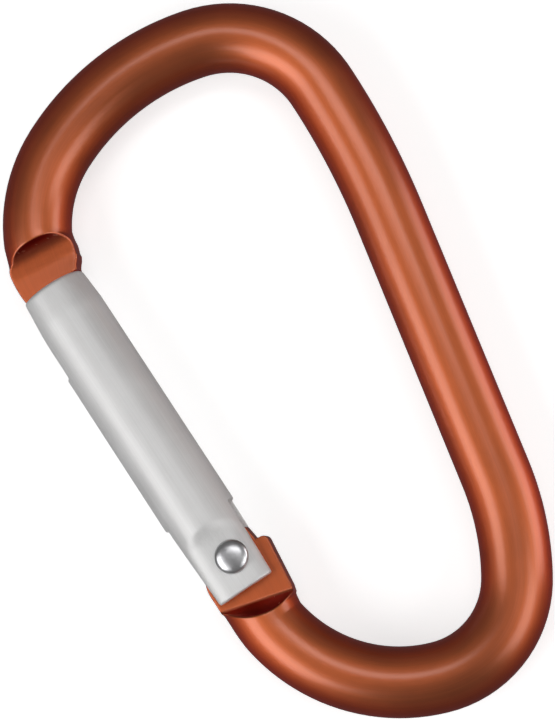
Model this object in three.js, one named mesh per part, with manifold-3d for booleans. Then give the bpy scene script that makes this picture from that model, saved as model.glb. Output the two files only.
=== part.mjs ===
// A small snap carabiner: a bent round-rod body, and a tubular gate that turns on a rivet in the
// flattened end of the rod. A coil spring in the gate's bore drives a plunger against the cam-shaped
// end of the hinge tongue and keeps the gate shut against the nose tongue.
//
// Millimetres. The design frame has the gate's axis along +Y at x = 0, the hinge at y = 0, the
// inside of the body towards +X and the mid-plane at z = 0. The last lines move the whole object so
// that it stands on z = 0, centred on the origin.

import * as THREE from "three";
import Module from "manifold-3d";
import { mergeVertices } from "three/addons/utils/BufferGeometryUtils.js";

const wasm = await Module();
wasm.setup();

// ---------------------------------------------------------------- driving dimensions

const RUNNING_FIT = 0.06; // radial clearance of a turning or sliding fit
const SEAT_GAP = 0.04; // clearance between faces that bear on each other

const rod = {
  diameter: 7.4,
  sides: 28,
  steps: 92,
};

const gate = {
  diameter: 7.9,
  noseEnd: 34.8, // y of the end that meets the nose tongue
  hingeEnd: -3.55, // y of the ears' ends
  tipDiameter: 7.4,
  taperLength: 3.6,
  tipFillet: 0.6,
  boreDiameter: 4.4,
  boreWeb: 2.3, // solid length between the bore and the nose slot
  slotSideGap: 0.15, // each side of a tongue
  hingeSlotOuterEnd: 6.1,
  hingeSlotInnerEnd: 5.3,
  noseSlotLength: 9.3,
  noseSlotCorner: 1.2,
  earThickness: 1.65, // from the slot to the flattened ear face
  earFlatRadius: 2.6, // concave rise from the flat to the round tube
  earFlatLean: 80, // degrees that the rise would end at
  earOuterInset: 0.85, // how far the ears' ends are drawn in from the round, outside the body
  earInnerInset: 0.65, // the same, on the inside
  lipTaperLength: 5.2, // the lips of the nose slot are drawn in over this length
  lipInset: 0.75,
  sides: 48,
};

// Each bend of the rod, in the order met from the gate: radius and turn in degrees. The last bend
// of each list turns until it meets the straight spine.
const noseStraightEnd = gate.noseEnd - 1.4; // y where the nose bend would leave the gate's axis
const hingeStraightEnd = -5.6; // y where the hinge bend leaves the gate's axis
const noseBends = [
  { radius: 15, turn: 66 },
  { radius: 26.5, turn: 40.5 },
  { radius: 12.1, turn: 74.5 },
  { radius: 85 },
];
const hingeBends = [
  { radius: 17.5, turn: 71.5 },
  { radius: 10.5, turn: 75.5 },
  { radius: 29.5 },
];

const tongue = {
  thickness: 3,
  rootOverlap: 1, // how far a tongue's outline reaches into the round rod
};

// Lengths of the nose tongue run from the end of the gate: `reach` into it, the others beyond it.
const nose = {
  rootTurn: 26, // degrees of the nose bend where the rod runs straight into the tongue
  rootRun: 3.4, // length of that straight run
  scoopFoot: 2.05,
  scoopTilt: 6, // degrees between the scoop and a square cut
  scoopRadius: 3.1, // concave foot of the wall between the round rod and the flat tongue
  scoopLean: 85, // degrees that the wall climbs at above its foot
  reach: 7.5,
  shoulderInset: 0.4, // inside edge of the shoulder over the gate's end, in from its round
  tipCorner: 1,
  outerInset: 0.9, // outside edge, in from the round of the gate
  wall: 1.45, // gate wall left on the inside by the slot
  rootOuterEdge: -3.45, // x of the outer edge where it meets the rod
  rootInnerEdge: 4.55,
  rootOuterY: 3.2,
  rootInnerY: 2.1,
};

const hinge = {
  offset: 0.8, // x of the rivet, inward of the gate's axis
  endRadius: 2.5, // rivet centre to the end that the plunger rests on
  camRate: 1.1, // plunger travel per radian of gate opening
  camTurn: 35, // degrees of opening that the cam covers
  outerEdge: -3.6,
  waistY: -2.1, // y where the outer edge starts to curve round the rivet
  lobeStandOut: 0.9, // how far the inner edge stands out from the round of the gate
  lobeRadius: 0.55, // rounded top corner of that edge
  lobeTop: 0.25,
  flareInnerEdge: 4.25,
  flareY: -5.8, // y where the flattened edges start back to the rod
  rootOuterEdge: -3.3,
  rootOuterY: -8.4,
  rootInnerEdge: 3.5,
  rootInnerY: -7.3,
  scoopFoot: -4.85,
  scoopTilt: -15,
  scoopRadius: 0.5,
  scoopLean: 57,
};

const rivet = {
  diameter: 2.4,
  headDiameter: 3.6,
  headHeight: 0.8,
  sides: 32,
};

const plunger = {
  headLength: 2.6,
  stemDiameter: 2.2,
  stemLength: 4,
  chamfer: 0.3,
  sides: 32,
};

const spring = {
  wire: 0.45,
  turns: 9,
  endTurns: 1, // close-wound turns at each end
  sides: 6,
  stepsPerTurn: 18,
};

// ---------------------------------------------------------------- sizes that follow from them

const rodRadius = rod.diameter / 2;
const gateRadius = gate.diameter / 2;
const slotHeight = tongue.thickness / 2 + gate.slotSideGap;
const earFace = slotHeight + gate.earThickness;
const boreRadius = gate.boreDiameter / 2;
const noseSlotEnd = gate.noseEnd - gate.noseSlotLength;
const boreEnd = noseSlotEnd - gate.boreWeb;
const noseFloor = gateRadius - nose.wall; // x of the nose slot's floor
const noseShoulder = gate.noseEnd + SEAT_GAP; // y of the shoulder over the gate's inner wall
const springRadius = boreRadius - RUNNING_FIT - spring.wire / 2;
const beyond = rod.diameter; // how far a cutter reaches past what it cuts
const UP = new THREE.Vector3(0, 0, 1);

// ---------------------------------------------------------------- helpers

const radians = THREE.MathUtils.degToRad;

/** A point at an angle (radians) and distance from a centre. */
function polar(centre, distance, angle) {
  return new THREE.Vector2(centre.x + distance * Math.cos(angle), centre.y + distance * Math.sin(angle));
}

/** A closed manifold solid from a three.js geometry. */
function solid(geometry) {
  const bare = geometry.clone();
  bare.deleteAttribute("normal");
  bare.deleteAttribute("uv");
  const merged = mergeVertices(bare, 1e-5);
  const mesh = new wasm.Mesh({
    numProp: 3,
    vertProperties: new Float32Array(merged.attributes.position.array),
    triVerts: new Uint32Array(merged.index.array),
  });
  return new wasm.Manifold(mesh);
}

/** A three.js geometry from a manifold solid. */
function toGeometry(manifold) {
  const mesh = manifold.getMesh();
  const geometry = new THREE.BufferGeometry();
  geometry.setAttribute("position", new THREE.BufferAttribute(mesh.vertProperties, 3));
  geometry.setIndex(new THREE.BufferAttribute(mesh.triVerts, 1));
  geometry.computeVertexNormals();
  return geometry;
}

/** A named mesh in its own finish. */
function piece(name, manifold, finish) {
  const mesh = new THREE.Mesh(toGeometry(manifold), new THREE.MeshStandardMaterial(finish));
  mesh.name = name;
  return mesh;
}

/** A flat outline in the XY plane, extruded to the same height above and below the mid-plane. */
function plate(outline, height) {
  const geometry = new THREE.ExtrudeGeometry(outline, {
    depth: 2 * height,
    bevelEnabled: false,
    curveSegments: 12,
  });
  return solid(geometry.translate(0, 0, -height));
}

/** A body of revolution about the Y axis from radius and y pairs; both ends lie on the axis. */
function turned(profile, sides) {
  const points = profile.map(([radius, y]) => new THREE.Vector2(radius, y));
  return solid(new THREE.LatheGeometry(points, sides));
}

/** A cylinder along Z through a point of the mid-plane. */
function pin(x, y, radius, length, sides) {
  const geometry = new THREE.CylinderGeometry(radius, radius, length, sides);
  return solid(geometry.rotateX(Math.PI / 2).translate(x, y, 0));
}

/**
 * What a cutter takes away above and below a flat: everything higher than `height` from the foot
 * point on along `towards`. Behind the foot a concave wall of `radius` climbs until it leans by
 * `lean` degrees, and runs on straight.
 */
function scoops(foot, towards, height, radius, lean, length) {
  const top = height + beyond;
  const turn = radians(lean);
  const straightFrom = height + radius * (1 - Math.cos(turn));
  const topBack = radius * Math.sin(turn) + (top - straightFrom) / Math.tan(turn);
  const outline = new THREE.Shape();
  outline.moveTo(length, height);
  outline.lineTo(length, top);
  outline.lineTo(-topBack, top);
  outline.absarc(0, height + radius, radius, 1.5 * Math.PI - turn, 1.5 * Math.PI, false);
  const width = 3 * beyond;
  const geometry = new THREE.ExtrudeGeometry(outline, {
    depth: width,
    bevelEnabled: false,
    curveSegments: 12,
  });
  geometry.translate(0, 0, -width / 2);
  const along = new THREE.Vector3(towards.x, towards.y, 0);
  return [UP, UP.clone().negate()].map((up) => {
    const frame = new THREE.Matrix4().makeBasis(along, up, along.clone().cross(up));
    frame.setPosition(foot.x, foot.y, 0);
    return solid(geometry.clone().applyMatrix4(frame));
  });
}

// ---------------------------------------------------------------- the rod's centreline

/**
 * The circles that a chain of bends runs round, with the path keeping them on its right. `way` is
 * 1 for a chain walked forwards and -1 for one walked back from its end.
 */
function bendCircles(startY, bends, way) {
  let heading = Math.PI / 2;
  let point = new THREE.Vector2(0, startY);
  return bends.map(({ radius, turn }) => {
    const centre = polar(point, radius, heading - Math.PI / 2);
    const from = heading + Math.PI / 2;
    heading -= way * radians(turn ?? 0);
    const to = heading + Math.PI / 2;
    point = polar(centre, radius, to);
    return { centre, radius, from, to };
  });
}

/** The whole centreline: nose bends, the spine tangent to both last circles, and hinge bends. */
function rodCentreline() {
  const down = bendCircles(noseStraightEnd, noseBends, 1);
  const back = bendCircles(hingeStraightEnd, hingeBends, -1);
  const upper = down.at(-1);
  const lower = back.at(-1);
  const link = lower.centre.clone().sub(upper.centre);
  const spineHeading = link.angle() + Math.asin((lower.radius - upper.radius) / link.length());
  upper.to = spineHeading + Math.PI / 2;
  lower.to = upper.to;
  down[0].from -= radians(nose.rootTurn);
  const root = polar(down[0].centre, down[0].radius, down[0].from);
  const start = polar(root, nose.rootRun, down[0].from + Math.PI / 2);

  const path = new THREE.Path();
  path.moveTo(start.x, start.y);
  path.lineTo(root.x, root.y);
  for (const { centre, radius, from, to } of down) {
    path.absarc(centre.x, centre.y, radius, from, to, true);
  }
  for (const { centre, radius, from, to } of back.reverse()) {
    path.absarc(centre.x, centre.y, radius, to, from, true);
  }
  path.lineTo(0, hingeStraightEnd + 2 * tongue.rootOverlap);
  return path;
}

/** A path of the XY plane as a curve in space. */
class FlatCurve extends THREE.Curve {
  constructor(path) {
    super();
    this.path = path;
  }

  getPoint(t, target = new THREE.Vector3()) {
    const { x, y } = this.path.getPoint(t);
    return target.set(x, y, 0);
  }
}

/** A regular polygon with flats facing the axes. */
function polygon(radius, sides) {
  const corners = Array.from({ length: sides }, (_, k) =>
    polar({ x: 0, y: 0 }, radius, ((k + 0.5) * 2 * Math.PI) / sides),
  );
  return new THREE.Shape(corners);
}

// ---------------------------------------------------------------- body

/** The nose tongue: flat, with a shoulder where the gate's slot takes it. */
function noseTongueOutline() {
  const outerEdge = -gateRadius + nose.outerInset;
  const innerEdge = noseFloor - SEAT_GAP;
  const tip = gate.noseEnd - nose.reach;
  const shoulderEdge = gateRadius - nose.shoulderInset;
  const outline = new THREE.Shape();
  outline.moveTo(nose.rootOuterEdge, gate.noseEnd + nose.rootOuterY);
  outline.lineTo(outerEdge, gate.noseEnd);
  outline.lineTo(outerEdge, tip + nose.tipCorner);
  outline.lineTo(outerEdge + nose.tipCorner, tip);
  outline.lineTo(innerEdge - nose.tipCorner, tip);
  outline.lineTo(innerEdge, tip + nose.tipCorner);
  outline.lineTo(innerEdge, noseShoulder);
  outline.lineTo(shoulderEdge, noseShoulder);
  outline.lineTo(nose.rootInnerEdge, gate.noseEnd + nose.rootInnerY);
  outline.lineTo(rodRadius, gate.noseEnd + nose.rootInnerY + tongue.rootOverlap);
  outline.lineTo(0, gate.noseEnd + nose.rootOuterY + tongue.rootOverlap);
  return outline;
}

/**
 * Point of the cam at an opening angle. The distance from the rivet to the plunger's face grows
 * by the cam rate per radian, which puts the contact that same distance inward of the rivet.
 */
function camPoint(angle) {
  const reach = hinge.endRadius + hinge.camRate * angle;
  const x = hinge.offset + reach * Math.sin(angle) + hinge.camRate * Math.cos(angle);
  const y = reach * Math.cos(angle) - hinge.camRate * Math.sin(angle);
  return [x, y];
}

/** The flattened hinge tongue: round and cam-shaped about the rivet, wide at its root. */
function hingeTongueOutline() {
  const camSteps = 10;
  const roundFrom = radians(150);
  const roundStart = polar({ x: hinge.offset, y: 0 }, hinge.endRadius, roundFrom);
  const lobeX = gateRadius + hinge.lobeStandOut - hinge.lobeRadius;
  const lobeY = hinge.lobeTop - hinge.lobeRadius;
  const outline = new THREE.Shape();
  outline.moveTo(hinge.rootOuterEdge, hinge.rootOuterY);
  outline.lineTo(hinge.outerEdge, hinge.flareY);
  outline.lineTo(hinge.outerEdge, hinge.waistY);
  outline.quadraticCurveTo(hinge.outerEdge, roundStart.y - hinge.endRadius / 2, roundStart.x, roundStart.y);
  outline.absarc(hinge.offset, 0, hinge.endRadius, roundFrom, Math.PI / 2, true);
  for (let k = 0; k <= camSteps; k += 1) {
    outline.lineTo(...camPoint((radians(hinge.camTurn) * k) / camSteps));
  }
  outline.lineTo(lobeX - hinge.lobeRadius, lobeY);
  outline.absarc(lobeX, lobeY, hinge.lobeRadius, Math.PI, 0, true);
  outline.lineTo(hinge.flareInnerEdge, hinge.flareY);
  outline.lineTo(hinge.rootInnerEdge, hinge.rootInnerY);
  return outline;
}

/** The bent rod with a flat tongue at each end. */
function makeBody() {
  const sweep = new THREE.ExtrudeGeometry(polygon(rodRadius, rod.sides), {
    steps: rod.steps,
    bevelEnabled: false,
    extrudePath: new FlatCurve(rodCentreline()),
  });
  const noseFoot = { x: 0, y: gate.noseEnd + nose.scoopFoot };
  const hingeFoot = { x: 0, y: hinge.scoopFoot };
  const origin = { x: 0, y: 0 };
  const towardsGateNose = polar(origin, 1, -Math.PI / 2 - radians(nose.scoopTilt));
  const towardsGateHinge = polar(origin, 1, Math.PI / 2 + radians(hinge.scoopTilt));
  const flat = tongue.thickness / 2;
  let body = solid(sweep);
  const cuts = [
    ...scoops(noseFoot, towardsGateNose, flat, nose.scoopRadius, nose.scoopLean, beyond),
    ...scoops(hingeFoot, towardsGateHinge, flat, hinge.scoopRadius, hinge.scoopLean, beyond),
  ];
  for (const cut of cuts) {
    body = body.subtract(cut);
  }
  body = body.add(plate(noseTongueOutline(), flat));
  body = body.add(plate(hingeTongueOutline(), flat));
  const holeRadius = rivet.diameter / 2 + RUNNING_FIT;
  body = body.subtract(pin(hinge.offset, 0, holeRadius, beyond, rivet.sides));
  return piece("body", body, { color: 0xb4552f, roughness: 0.34, metalness: 1 });
}

// ---------------------------------------------------------------- gate

/** The turned outside of the gate: a cylinder with a slightly tapered, rounded nose end. */
function gateBlank() {
  const tipRadius = gate.tipDiameter / 2;
  const filletSteps = 5;
  const profile = [
    [0, gate.hingeEnd],
    [gateRadius, gate.hingeEnd],
    [gateRadius, gate.noseEnd - gate.taperLength],
  ];
  for (let k = 0; k <= filletSteps; k += 1) {
    const angle = ((Math.PI / 2) * k) / filletSteps;
    profile.push([
      tipRadius - gate.tipFillet * (1 - Math.cos(angle)),
      gate.noseEnd - gate.tipFillet * (1 - Math.sin(angle)),
    ]);
  }
  profile.push([0, gate.noseEnd]);
  return turned(profile, gate.sides);
}

/** The nose slot: open to the outside of the body and at the gate's end. */
function noseSlotOutline() {
  const corner = gate.noseSlotCorner;
  const top = gate.noseEnd + beyond;
  const outline = new THREE.Shape();
  outline.moveTo(-beyond, noseSlotEnd);
  outline.lineTo(noseFloor - corner, noseSlotEnd);
  outline.absarc(noseFloor - corner, noseSlotEnd + corner, corner, -Math.PI / 2, 0, false);
  outline.lineTo(noseFloor, top);
  outline.lineTo(-beyond, top);
  return outline;
}

/** The wedge outside the line between two points near one side of the gate. */
function edgeWedge(fromX, fromY, toX, toY) {
  const far = Math.sign(fromX) * (gateRadius + beyond);
  return new THREE.Shape([
    new THREE.Vector2(fromX, fromY),
    new THREE.Vector2(toX, toY),
    new THREE.Vector2(far, toY),
    new THREE.Vector2(far, fromY),
  ]);
}

/** The gate: bored from the hinge end, slotted at both ends, its two ears pressed flat. */
function makeGate() {
  const drillCone = boreRadius / 2;
  const bore = turned(
    [
      [0, gate.hingeEnd - beyond],
      [boreRadius, gate.hingeEnd - beyond],
      [boreRadius, boreEnd],
      [0, boreEnd + drillCone],
    ],
    gate.sides,
  );
  const hingeSlot = new THREE.Shape([
    new THREE.Vector2(-beyond, gate.hingeEnd - beyond),
    new THREE.Vector2(beyond, gate.hingeEnd - beyond),
    new THREE.Vector2(gateRadius, gate.hingeSlotInnerEnd),
    new THREE.Vector2(-gateRadius, gate.hingeSlotOuterEnd),
  ]);
  const slotEdge = Math.sqrt(gateRadius ** 2 - slotHeight ** 2);
  const earOuter = edgeWedge(
    -slotEdge,
    gate.hingeSlotOuterEnd,
    -gateRadius + gate.earOuterInset,
    gate.hingeEnd,
  );
  const earInner = edgeWedge(
    slotEdge,
    gate.hingeSlotInnerEnd,
    gateRadius - gate.earInnerInset,
    gate.hingeEnd,
  );
  const lips = edgeWedge(
    -slotEdge,
    gate.noseEnd - gate.lipTaperLength,
    -gateRadius + gate.lipInset,
    gate.noseEnd,
  );
  const flatFoot = { x: 0, y: rivet.headDiameter / 2 + SEAT_GAP };
  const holeRadius = rivet.diameter / 2 + SEAT_GAP;
  const far = 2 * beyond;
  let body = gateBlank();
  const cuts = [
    bore,
    plate(hingeSlot, slotHeight),
    plate(noseSlotOutline(), slotHeight),
    plate(earOuter, beyond),
    plate(earInner, beyond),
    plate(lips, beyond),
    ...scoops(flatFoot, { x: 0, y: -1 }, earFace, gate.earFlatRadius, gate.earFlatLean, far),
    pin(hinge.offset, 0, holeRadius, far, rivet.sides),
  ];
  for (const cut of cuts) {
    body = body.subtract(cut);
  }
  return piece("gate", body, { color: 0xbfc0c2, roughness: 0.42, metalness: 1 });
}

// ---------------------------------------------------------------- small parts

/** The set rivet: a plain shank with a domed head on each ear. */
function makeRivet() {
  const radius = rivet.diameter / 2;
  const headRadius = rivet.headDiameter / 2;
  const seat = earFace + SEAT_GAP;
  const domeSteps = 7;
  const half = [
    [radius, 0],
    [radius, seat],
    [headRadius, seat],
  ];
  for (let k = 1; k < domeSteps; k += 1) {
    const angle = ((Math.PI / 2) * k) / domeSteps;
    half.push([headRadius * Math.cos(angle), seat + rivet.headHeight * Math.sin(angle)]);
  }
  half.push([0, seat + rivet.headHeight]);
  const lower = half.slice(1).reverse().map(([r, y]) => [r, -y]);
  const geometry = new THREE.LatheGeometry(
    [...lower, ...half.slice(1)].map(([r, y]) => new THREE.Vector2(r, y)),
    rivet.sides,
  );
  const body = solid(geometry.rotateX(Math.PI / 2).translate(hinge.offset, 0, 0));
  return piece("hinge_rivet", body, { color: 0xa9abad, roughness: 0.22, metalness: 1 });
}

/** The y of the plunger's face, against the end of the hinge tongue. */
const plungerFace = hinge.endRadius + SEAT_GAP;
const springStart = plungerFace + plunger.headLength + SEAT_GAP;
const springEnd = boreEnd - SEAT_GAP;

/** The plunger: a head that slides in the bore, and a stem that keeps the spring straight. */
function makePlunger() {
  const headRadius = boreRadius - RUNNING_FIT;
  const stemRadius = plunger.stemDiameter / 2;
  const headEnd = plungerFace + plunger.headLength;
  const stemEnd = headEnd + plunger.stemLength;
  const body = turned(
    [
      [0, plungerFace],
      [headRadius, plungerFace],
      [headRadius, headEnd],
      [stemRadius, headEnd],
      [stemRadius, stemEnd - plunger.chamfer],
      [stemRadius - plunger.chamfer, stemEnd],
      [0, stemEnd],
    ],
    plunger.sides,
  );
  return piece("plunger", body, { color: 0x8f8f92, roughness: 0.35, metalness: 1 });
}

/** A compression spring along Y with close-wound ends. */
class SpringCurve extends THREE.Curve {
  getPoint(t, target = new THREE.Vector3()) {
    const turn = t * spring.turns;
    const pitch = spring.wire + SEAT_GAP;
    const start = springStart + spring.wire / 2;
    const end = springEnd - spring.wire / 2;
    const closed = spring.endTurns * pitch;
    const middle = (turn - spring.endTurns) / (spring.turns - 2 * spring.endTurns);
    let y = start + closed + middle * (end - start - 2 * closed);
    if (turn < spring.endTurns) {
      y = start + turn * pitch;
    } else if (turn > spring.turns - spring.endTurns) {
      y = end - (spring.turns - turn) * pitch;
    }
    const angle = 2 * Math.PI * turn;
    return target.set(springRadius * Math.cos(angle), y, springRadius * Math.sin(angle));
  }
}

/** The gate's spring. */
function makeSpring() {
  const geometry = new THREE.ExtrudeGeometry(polygon(spring.wire / 2, spring.sides), {
    steps: spring.turns * spring.stepsPerTurn,
    bevelEnabled: false,
    extrudePath: new SpringCurve(),
  });
  return piece("gate_spring", solid(geometry), { color: 0x9a9a9c, roughness: 0.3, metalness: 1 });
}

// ---------------------------------------------------------------- the object

const group = new THREE.Group();
group.add(makeBody(), makeGate(), makeRivet(), makePlunger(), makeSpring());
const box = new THREE.Box3().setFromObject(group);
const centre = box.getCenter(new THREE.Vector3());
group.position.set(-centre.x, -centre.y, -box.min.z);

export default group;
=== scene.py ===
"""A small snap carabiner: a bent rod body, a tubular gate on a set rivet, a plunger and its spring.

Every mesh is built in millimetres in the design frame: the gate's axis along +Y at x = 0, the rivet
at y = 0, the inside of the body towards +X and the mid-plane at z = 0. It is then moved to the row
frame, in metres. Every finish is procedural.
"""

import logging
import math
from dataclasses import dataclass
from enum import Enum
from typing import Any, ClassVar

import bpy
import numpy as np
from mathutils import Matrix, Vector


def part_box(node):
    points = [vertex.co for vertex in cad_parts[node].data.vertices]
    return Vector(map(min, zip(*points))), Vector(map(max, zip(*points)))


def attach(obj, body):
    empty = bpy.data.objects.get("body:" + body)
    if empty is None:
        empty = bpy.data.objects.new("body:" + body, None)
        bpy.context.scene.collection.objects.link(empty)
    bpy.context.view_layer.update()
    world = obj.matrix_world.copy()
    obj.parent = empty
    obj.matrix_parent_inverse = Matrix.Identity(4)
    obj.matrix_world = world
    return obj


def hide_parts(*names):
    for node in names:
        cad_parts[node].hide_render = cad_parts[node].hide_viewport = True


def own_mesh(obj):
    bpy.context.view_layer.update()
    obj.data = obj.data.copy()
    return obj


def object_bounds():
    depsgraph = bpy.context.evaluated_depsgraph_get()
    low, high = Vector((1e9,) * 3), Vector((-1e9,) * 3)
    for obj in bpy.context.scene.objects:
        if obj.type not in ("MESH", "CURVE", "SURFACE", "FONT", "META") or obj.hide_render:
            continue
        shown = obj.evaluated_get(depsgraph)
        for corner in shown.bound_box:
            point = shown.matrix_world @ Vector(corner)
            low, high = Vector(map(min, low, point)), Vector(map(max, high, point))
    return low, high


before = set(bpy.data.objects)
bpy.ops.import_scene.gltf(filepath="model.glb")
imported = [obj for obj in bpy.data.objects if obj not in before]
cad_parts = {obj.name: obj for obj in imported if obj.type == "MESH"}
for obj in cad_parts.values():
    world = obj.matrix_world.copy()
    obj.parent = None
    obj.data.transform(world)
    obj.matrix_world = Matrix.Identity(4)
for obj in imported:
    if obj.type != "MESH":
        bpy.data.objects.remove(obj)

CAD_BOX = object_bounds()
MM = 0.001
# The point layer of painted shade, a darker colour on the body's scoop walls, from 0 to 1.
SHADE_LAYER = "painted_shade_depth"
UNCUT = 99.0  # a height or width beyond every piece, where nothing limits it
THROUGH = 9.0  # half the length of a hole's cutter
HOLE_SIDES = 64
BORE_SIDES = 96
TINY = 0.02  # the radius at the middle of a turned end, in millimetres
log = logging.getLogger("carabiner")

Points = np.ndarray
Colour = tuple[float, float, float, float]


class BodyName(Enum):
    """The bodies that pieces ride on."""

    FRAME = "frame"
    GATE = "gate"
    PLUNGER = "plunger"


class SlotName(Enum):
    """The record's material slots."""

    BODY = "anodised_body"
    GATE = "gate_metal"
    RIVET = "rivet_metal"
    PLUNGER = "plunger_metal"
    SPRING = "spring_metal"


class GroupName(Enum):
    """Shader effects that several finishes share."""

    GRAIN = "drawn_grain"
    EDGES = "rubbed_edges"
    CLOUDS = "handling_marks"
    # Painted shade on the scoops' walls.
    HOLLOW_SHADE = "painted_hollow_shade"


# ------------------------------------------------------------------------------ placing and meshes


@dataclass(frozen=True)
class DesignFrame:
    """Where the design frame's origin lies in the row frame, in metres."""

    origin: Vector

    @classmethod
    def from_cad(cls) -> "DesignFrame":
        """Finds the origin from the gate's and the rivet's places.

        Returns:
            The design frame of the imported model.
        """
        gate_low, gate_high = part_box("gate")
        rivet_low, rivet_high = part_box("hinge_rivet")
        return cls(
            Vector(
                (
                    (gate_low[0] + gate_high[0]) / 2,
                    (rivet_low[1] + rivet_high[1]) / 2,
                    (gate_low[2] + gate_high[2]) / 2,
                )
            )
        )

    def matrix(self) -> Matrix:
        """The change from design millimetres to row metres."""
        return Matrix.Translation(self.origin) @ Matrix.Scale(MM, 4)

    def point(self, x: float, y: float, z: float) -> Vector:
        """A design point in the row frame."""
        return self.matrix() @ Vector((x, y, z))


def soft_min(a: Points, b: Points, blend: float) -> Points:
    """The lower of two surfaces with a rounded crossing.

    Args:
        a: first heights.
        b: second heights.
        blend: width of the rounding; the crossing is lowered by a quarter of it.

    Returns:
        The rounded minimum.
    """
    share = np.clip(0.5 + 0.5 * (b - a) / blend, 0.0, 1.0)
    return b * (1 - share) + a * share - blend * share * (1 - share)


def smooth_step(values: Points, start: float, end: float) -> Points:
    """A smooth change from 0 at start to 1 at end."""
    share = np.clip((values - start) / (end - start), 0.0, 1.0)
    return share * share * (3 - 2 * share)


def ring_mesh(
    name: str, rings: Points, along: Points | None = None, shade_share: Points | None = None
) -> bpy.types.Mesh:
    """A closed skin over a row of rings, with a flat cap at each end.

    Args:
        name: the mesh's name.
        rings: points with the shape (rings, points in a ring, 3).
        along: each ring's place along the piece in millimetres, for the surface coordinates.
        shade_share: how much painted shade darkens each point, from 0 to 1.

    Returns:
        The mesh, shaded smooth.
    """
    count, sides, _ = rings.shape
    mesh = bpy.data.meshes.new(name)
    step = np.arange(sides)
    after = (step + 1) % sides
    faces = []
    for k in range(count - 1):
        low, high = k * sides, (k + 1) * sides
        faces.append(np.stack([low + step, low + after, high + after, high + step], 1))
    quads = np.concatenate(faces).tolist()
    last = (count - 1) * sides
    caps = [list(range(sides - 1, -1, -1)), list(range(last, last + sides))]
    mesh.from_pydata(rings.reshape(-1, 3).tolist(), [], quads + caps)
    mesh.shade_smooth()
    if along is not None:
        girth = np.linalg.norm(np.diff(rings[count // 2], axis=0), axis=1).sum()
        layer = mesh.uv_layers.new(name="along_and_round")
        row = np.repeat(np.arange(count - 1), sides)
        column = np.tile(step, count - 1)
        u = np.stack([along[row], along[row], along[row + 1], along[row + 1]], 1)
        v = np.stack([column, column + 1, column + 1, column], 1) * girth / sides
        values = np.zeros((len(mesh.loops), 2), np.float32)
        values[: u.size, 0] = u.ravel()
        values[: v.size, 1] = v.ravel()
        layer.data.foreach_set("uv", values.ravel())
    # Painted shade, stored for the finishes to darken these points.
    if shade_share is not None:
        depth = mesh.attributes.new(SHADE_LAYER, "FLOAT", "POINT")
        depth.data.foreach_set("value", shade_share.astype(np.float32).ravel())
    return mesh


def turned_mesh(name: str, profile: list[tuple[float, float]], sides: int) -> bpy.types.Mesh:
    """A body of revolution about the Y axis.

    Args:
        name: the mesh's name.
        profile: radius and y pairs, in the order of rising y.
        sides: points round the axis.

    Returns:
        The closed mesh.
    """
    angle = -np.arange(sides) * 2 * math.pi / sides
    radius = np.array([r for r, _ in profile])[:, None]
    height = np.array([y for _, y in profile])[:, None]
    rings = np.stack(
        [radius * np.cos(angle), height + 0 * angle, radius * np.sin(angle)],
        axis=2,
    )
    return ring_mesh(name, rings)


def pin_mesh(
    name: str, profile: list[tuple[float, float]], sides: int, offset: float
) -> bpy.types.Mesh:
    """A body of revolution about the rivet's axis, which stands upright.

    Args:
        name: the mesh's name.
        profile: radius and height pairs, in the order of rising height.
        sides: points round the axis.
        offset: the axis's distance inward from the gate's axis.

    Returns:
        The closed mesh.
    """
    mesh = turned_mesh(name, profile, sides)
    upright = Matrix.Rotation(math.pi / 2, 4, "X")
    mesh.transform(Matrix.Translation((offset, 0, 0)) @ upright)
    return mesh


def plate_mesh(name: str, outline: list[tuple[float, float]], height: float) -> bpy.types.Mesh:
    """A flat plate of an outline in the XY plane, as high above the mid-plane as below it.

    Args:
        name: the mesh's name.
        outline: corners, counter-clockwise.
        height: half the thickness.

    Returns:
        The closed mesh.
    """
    corners = np.array(outline)
    low = np.column_stack([corners, np.full(len(corners), -height)])
    high = np.column_stack([corners, np.full(len(corners), height)])
    return ring_mesh(name, np.stack([low, high]))


def arc_points(
    centre: tuple[float, float], radius: float, start: float, end: float, steps: int
) -> list[tuple[float, float]]:
    """Points of an arc.

    Args:
        centre: the arc's centre.
        radius: its radius.
        start: the first angle in degrees, included.
        end: the last angle in degrees, included.
        steps: how many chords.

    Returns:
        The points in order.
    """
    angles = np.radians(np.linspace(start, end, steps + 1))
    return [(centre[0] + radius * math.cos(a), centre[1] + radius * math.sin(a)) for a in angles]


def link(mesh: bpy.types.Mesh) -> bpy.types.Object:
    """Puts a mesh into the scene.

    Args:
        mesh: what to show.

    Returns:
        The object that shows it.
    """
    made = bpy.data.objects.new(mesh.name, mesh)
    bpy.context.scene.collection.objects.link(made)
    return made


def settle(piece: bpy.types.Object) -> None:
    """Turns a piece's modifiers into its mesh.

    Args:
        piece: the object, whose old mesh is removed.
    """
    graph = bpy.context.evaluated_depsgraph_get()
    mesh = bpy.data.meshes.new_from_object(piece.evaluated_get(graph))
    old = piece.data
    piece.modifiers.clear()
    piece.data = mesh
    bpy.data.meshes.remove(old)


def cut(piece: bpy.types.Object, cutters: list[bpy.types.Mesh]) -> None:
    """Takes each cutter's volume away from a piece.

    Args:
        piece: the object to cut.
        cutters: closed meshes in the same frame; they are removed afterwards.
    """
    tools = [link(mesh) for mesh in cutters]
    for tool in tools:
        modifier = piece.modifiers.new(tool.name, "BOOLEAN")
        modifier.operation = "DIFFERENCE"
        modifier.solver = "EXACT"
        modifier.object = tool
    settle(piece)
    for tool in tools:
        bpy.data.meshes.remove(tool.data)


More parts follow.
